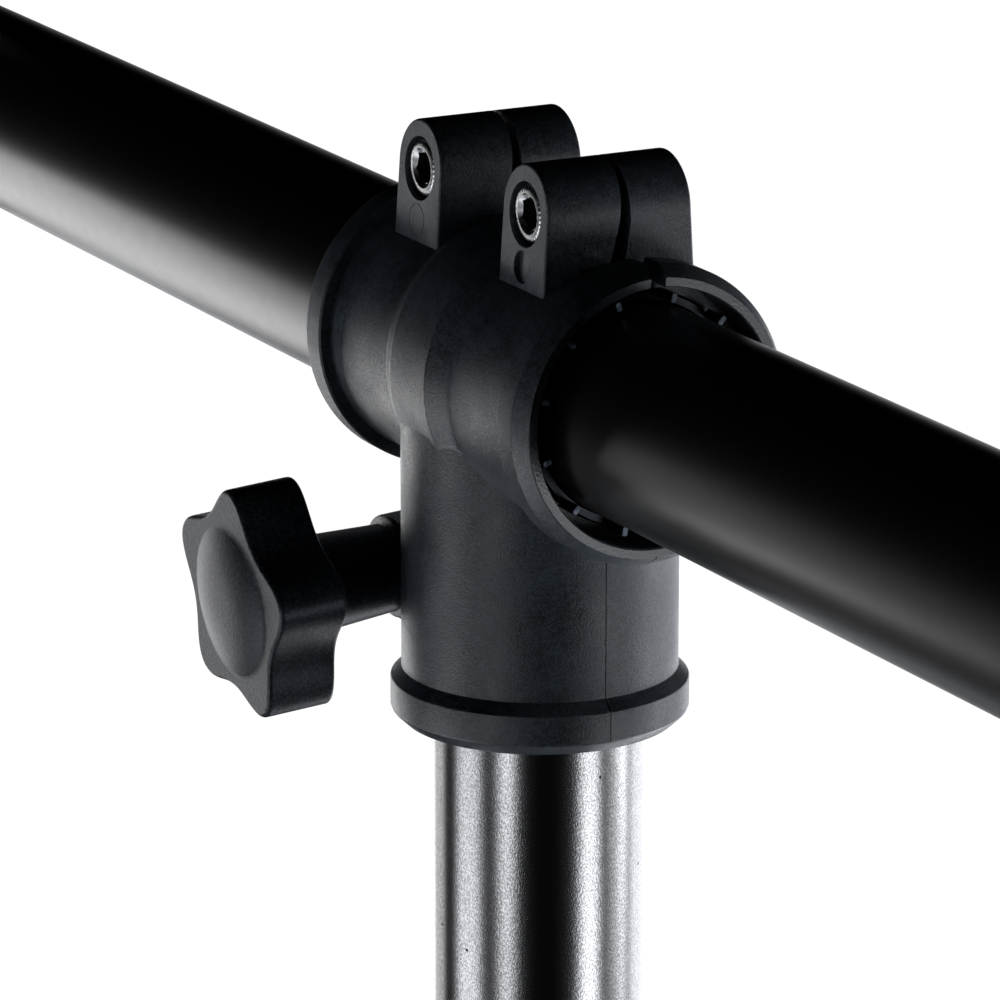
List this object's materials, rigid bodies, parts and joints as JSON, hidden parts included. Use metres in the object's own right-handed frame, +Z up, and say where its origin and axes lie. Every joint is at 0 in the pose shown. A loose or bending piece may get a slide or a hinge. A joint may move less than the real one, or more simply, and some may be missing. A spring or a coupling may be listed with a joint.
{
  "type": "lighting t bar stand",
  "caption": "Folding tripod stand with a telescopic mast and a clamped T-socket that carries a round crossbar with hanger bolts for stage lights.",
  "frame": {"origin": "on the floor, on the mast's axis", "axes": "+Z up along the mast, +X along the crossbar and towards leg 1, -Y towards the head knob's side"},
  "size_m": [1.206, 1.0346, 1.5381],
  "materials": {
    "powder_coat": "satin",
    "casting": "matte, finely speckled",
    "knob": "matte",
    "liner": "matte",
    "satin_tube": "satin",
    "zinc": "bright zinc",
    "brass": "machined",
    "rubber": "matte"
  },
  "bodies": {
    "mast": {"outer_tube": "powder_coat", "mast_plug": "liner", "mast_clamp": "casting", "mast_knob_insert": "brass", "brace_hub": "casting", "hub_pin_1": "zinc", "hub_pin_2": "zinc", "hub_pin_3": "zinc"},
    "brace_1": {"brace_1": "powder_coat", "brace_pin_1": "zinc"},
    "leg_1": {"leg_1": "powder_coat", "foot_1": "rubber"},
    "collar": {"leg_collar": "casting", "collar_knob_insert": "brass", "leg_pin_1": "zinc", "leg_pin_2": "zinc", "leg_pin_3": "zinc"},
    "leg_2": {"leg_2": "powder_coat", "foot_2": "rubber"},
    "leg_3": {"leg_3": "powder_coat", "foot_3": "rubber"},
    "brace_2": {"brace_2": "powder_coat", "brace_pin_2": "zinc"},
    "brace_3": {"brace_3": "powder_coat", "brace_pin_3": "zinc"},
    "collar_knob": {"collar_knob": "knob", "collar_knob_stud": "zinc"},
    "mast_knob": {"mast_knob": "knob", "mast_knob_stud": "zinc"},
    "inner_mast": {"inner_tube": "satin_tube", "guide_bush": "liner"},
    "swivel": {"swivel_disc": "liner"},
    "head": {"t_socket": "casting", "clamp_nut_1": "zinc", "clamp_nut_2": "zinc", "head_knob_insert": "brass"},
    "head_knob": {"head_knob": "knob", "head_knob_stud": "zinc"},
    "clamp_bolt_1": {"clamp_bolt_1": "zinc"},
    "clamp_bolt_2": {"clamp_bolt_2": "zinc"},
    "liner": {"bar_liner": "liner"},
    "bar": {"crossbar": "powder_coat", "bar_cap_near": "liner", "bar_cap_far": "liner", "hanger_bolt_1": "zinc", "hanger_bolt_2": "zinc", "hanger_bolt_3": "zinc", "hanger_bolt_4": "zinc", "upper_saddle_1": "liner", "upper_saddle_2": "liner", "upper_saddle_3": "liner", "upper_saddle_4": "liner", "lower_saddle_1": "liner", "lower_saddle_2": "liner", "lower_saddle_3": "liner", "lower_saddle_4": "liner"},
    "wing_nut_1": {"wing_nut_1": "zinc"},
    "wing_nut_2": {"wing_nut_2": "zinc"},
    "wing_nut_3": {"wing_nut_3": "zinc"},
    "wing_nut_4": {"wing_nut_4": "zinc"}
  },
  "joints": [
    {"name": "leg_fold", "type": "hinge", "parent": "mast", "child": "brace_1", "pos_m": [0.046, 0, 0.06017], "axis": [0, -1, 0], "range_deg": [0, 47]},
    {"name": "leg_1_hinge", "type": "hinge", "parent": "brace_1", "child": "leg_1", "pos_m": [0.2824, 0, 0.24487], "axis": [0, 1, 0], "range_deg": [0, 94]},
    {"name": "collar_hinge", "type": "hinge", "parent": "leg_1", "child": "collar", "pos_m": [0.046, 0, 0.42957], "axis": [0, -1, 0], "range_deg": [0, 47]},
    {"name": "leg_2_hinge", "type": "hinge", "parent": "collar", "child": "leg_2", "pos_m": [-0.023, 0.03984, 0.42957], "axis": [-0.866, -0.5, 0], "range_deg": [0, 47]},
    {"name": "leg_3_hinge", "type": "hinge", "parent": "collar", "child": "leg_3", "pos_m": [-0.023, -0.03984, 0.42957], "axis": [0.866, -0.5, 0], "range_deg": [0, 47]},
    {"name": "brace_2_hinge", "type": "hinge", "parent": "mast", "child": "brace_2", "pos_m": [-0.023, 0.03984, 0.06017], "axis": [0.866, 0.5, 0], "range_deg": [0, 47]},
    {"name": "brace_3_hinge", "type": "hinge", "parent": "mast", "child": "brace_3", "pos_m": [-0.023, -0.03984, 0.06017], "axis": [-0.866, 0.5, 0], "range_deg": [0, 47]},
    {"name": "collar_knob_turn", "type": "hinge", "parent": "collar", "child": "collar_knob", "pos_m": [0, 0, 0.46157], "axis": [-1, 0, 0], "range_deg": [0, 720]},
    {"name": "mast_knob_turn", "type": "hinge", "parent": "mast", "child": "mast_knob", "pos_m": [0, 0, 1.019], "axis": [0, -1, 0], "range_deg": [0, 720]},
    {"name": "mast_extend", "type": "slide", "parent": "mast", "child": "inner_mast", "axis": [0, 0, 1], "range_m": [-0.38, 0.35]},
    {"name": "head_lift", "type": "slide", "parent": "inner_mast", "child": "swivel", "axis": [0, 0, 1], "range_m": [0, 0.06]},
    {"name": "head_swivel", "type": "hinge", "parent": "swivel", "child": "head", "pos_m": [0, 0, 1.475], "axis": [0, 0, 1], "continuous": true},
    {"name": "head_knob_turn", "type": "hinge", "parent": "head", "child": "head_knob", "pos_m": [-0.026, 0, 1.4619], "axis": [0, -0.9971, -0.0757], "range_deg": [0, 720]},
    {"name": "clamp_bolt_1_turn", "type": "hinge", "parent": "head", "child": "clamp_bolt_1", "pos_m": [-0.0185, 0, 1.53], "axis": [0, -1, 0], "range_deg": [0, 360]},
    {"name": "clamp_bolt_2_turn", "type": "hinge", "parent": "head", "child": "clamp_bolt_2", "pos_m": [0.0185, 0, 1.53], "axis": [0, -1, 0], "range_deg": [0, 360]},
    {"name": "bar_roll", "type": "hinge", "parent": "head", "child": "liner", "pos_m": [0, 0, 1.5], "axis": [1, 0, 0], "continuous": true},
    {"name": "bar_slide", "type": "slide", "parent": "liner", "child": "bar", "axis": [1, 0, 0], "range_m": [-0.2, 0.2]},
    {"name": "wing_nut_1_turn", "type": "hinge", "parent": "bar", "child": "wing_nut_1", "pos_m": [-0.52, 0, 1.5], "axis": [0, 0, -1], "range_deg": [0, 720]},
    {"name": "wing_nut_2_turn", "type": "hinge", "parent": "bar", "child": "wing_nut_2", "pos_m": [-0.26, 0, 1.5], "axis": [0, 0, -1], "range_deg": [0, 720]},
    {"name": "wing_nut_3_turn", "type": "hinge", "parent": "bar", "child": "wing_nut_3", "pos_m": [0.26, 0, 1.5], "axis": [0, 0, -1], "range_deg": [0, 720]},
    {"name": "wing_nut_4_turn", "type": "hinge", "parent": "bar", "child": "wing_nut_4", "pos_m": [0.52, 0, 1.5], "axis": [0, 0, -1], "range_deg": [0, 720]}
  ],
  "couplings": [
    {"joint": "leg_1_hinge", "follows": "leg_fold", "ratio": 2},
    {"joint": "collar_hinge", "follows": "leg_fold", "ratio": 1},
    {"joint": "leg_2_hinge", "follows": "leg_fold", "ratio": 1},
    {"joint": "leg_3_hinge", "follows": "leg_fold", "ratio": 1},
    {"joint": "brace_2_hinge", "follows": "leg_fold", "ratio": 1},
    {"joint": "brace_3_hinge", "follows": "leg_fold", "ratio": 1}
  ]
}
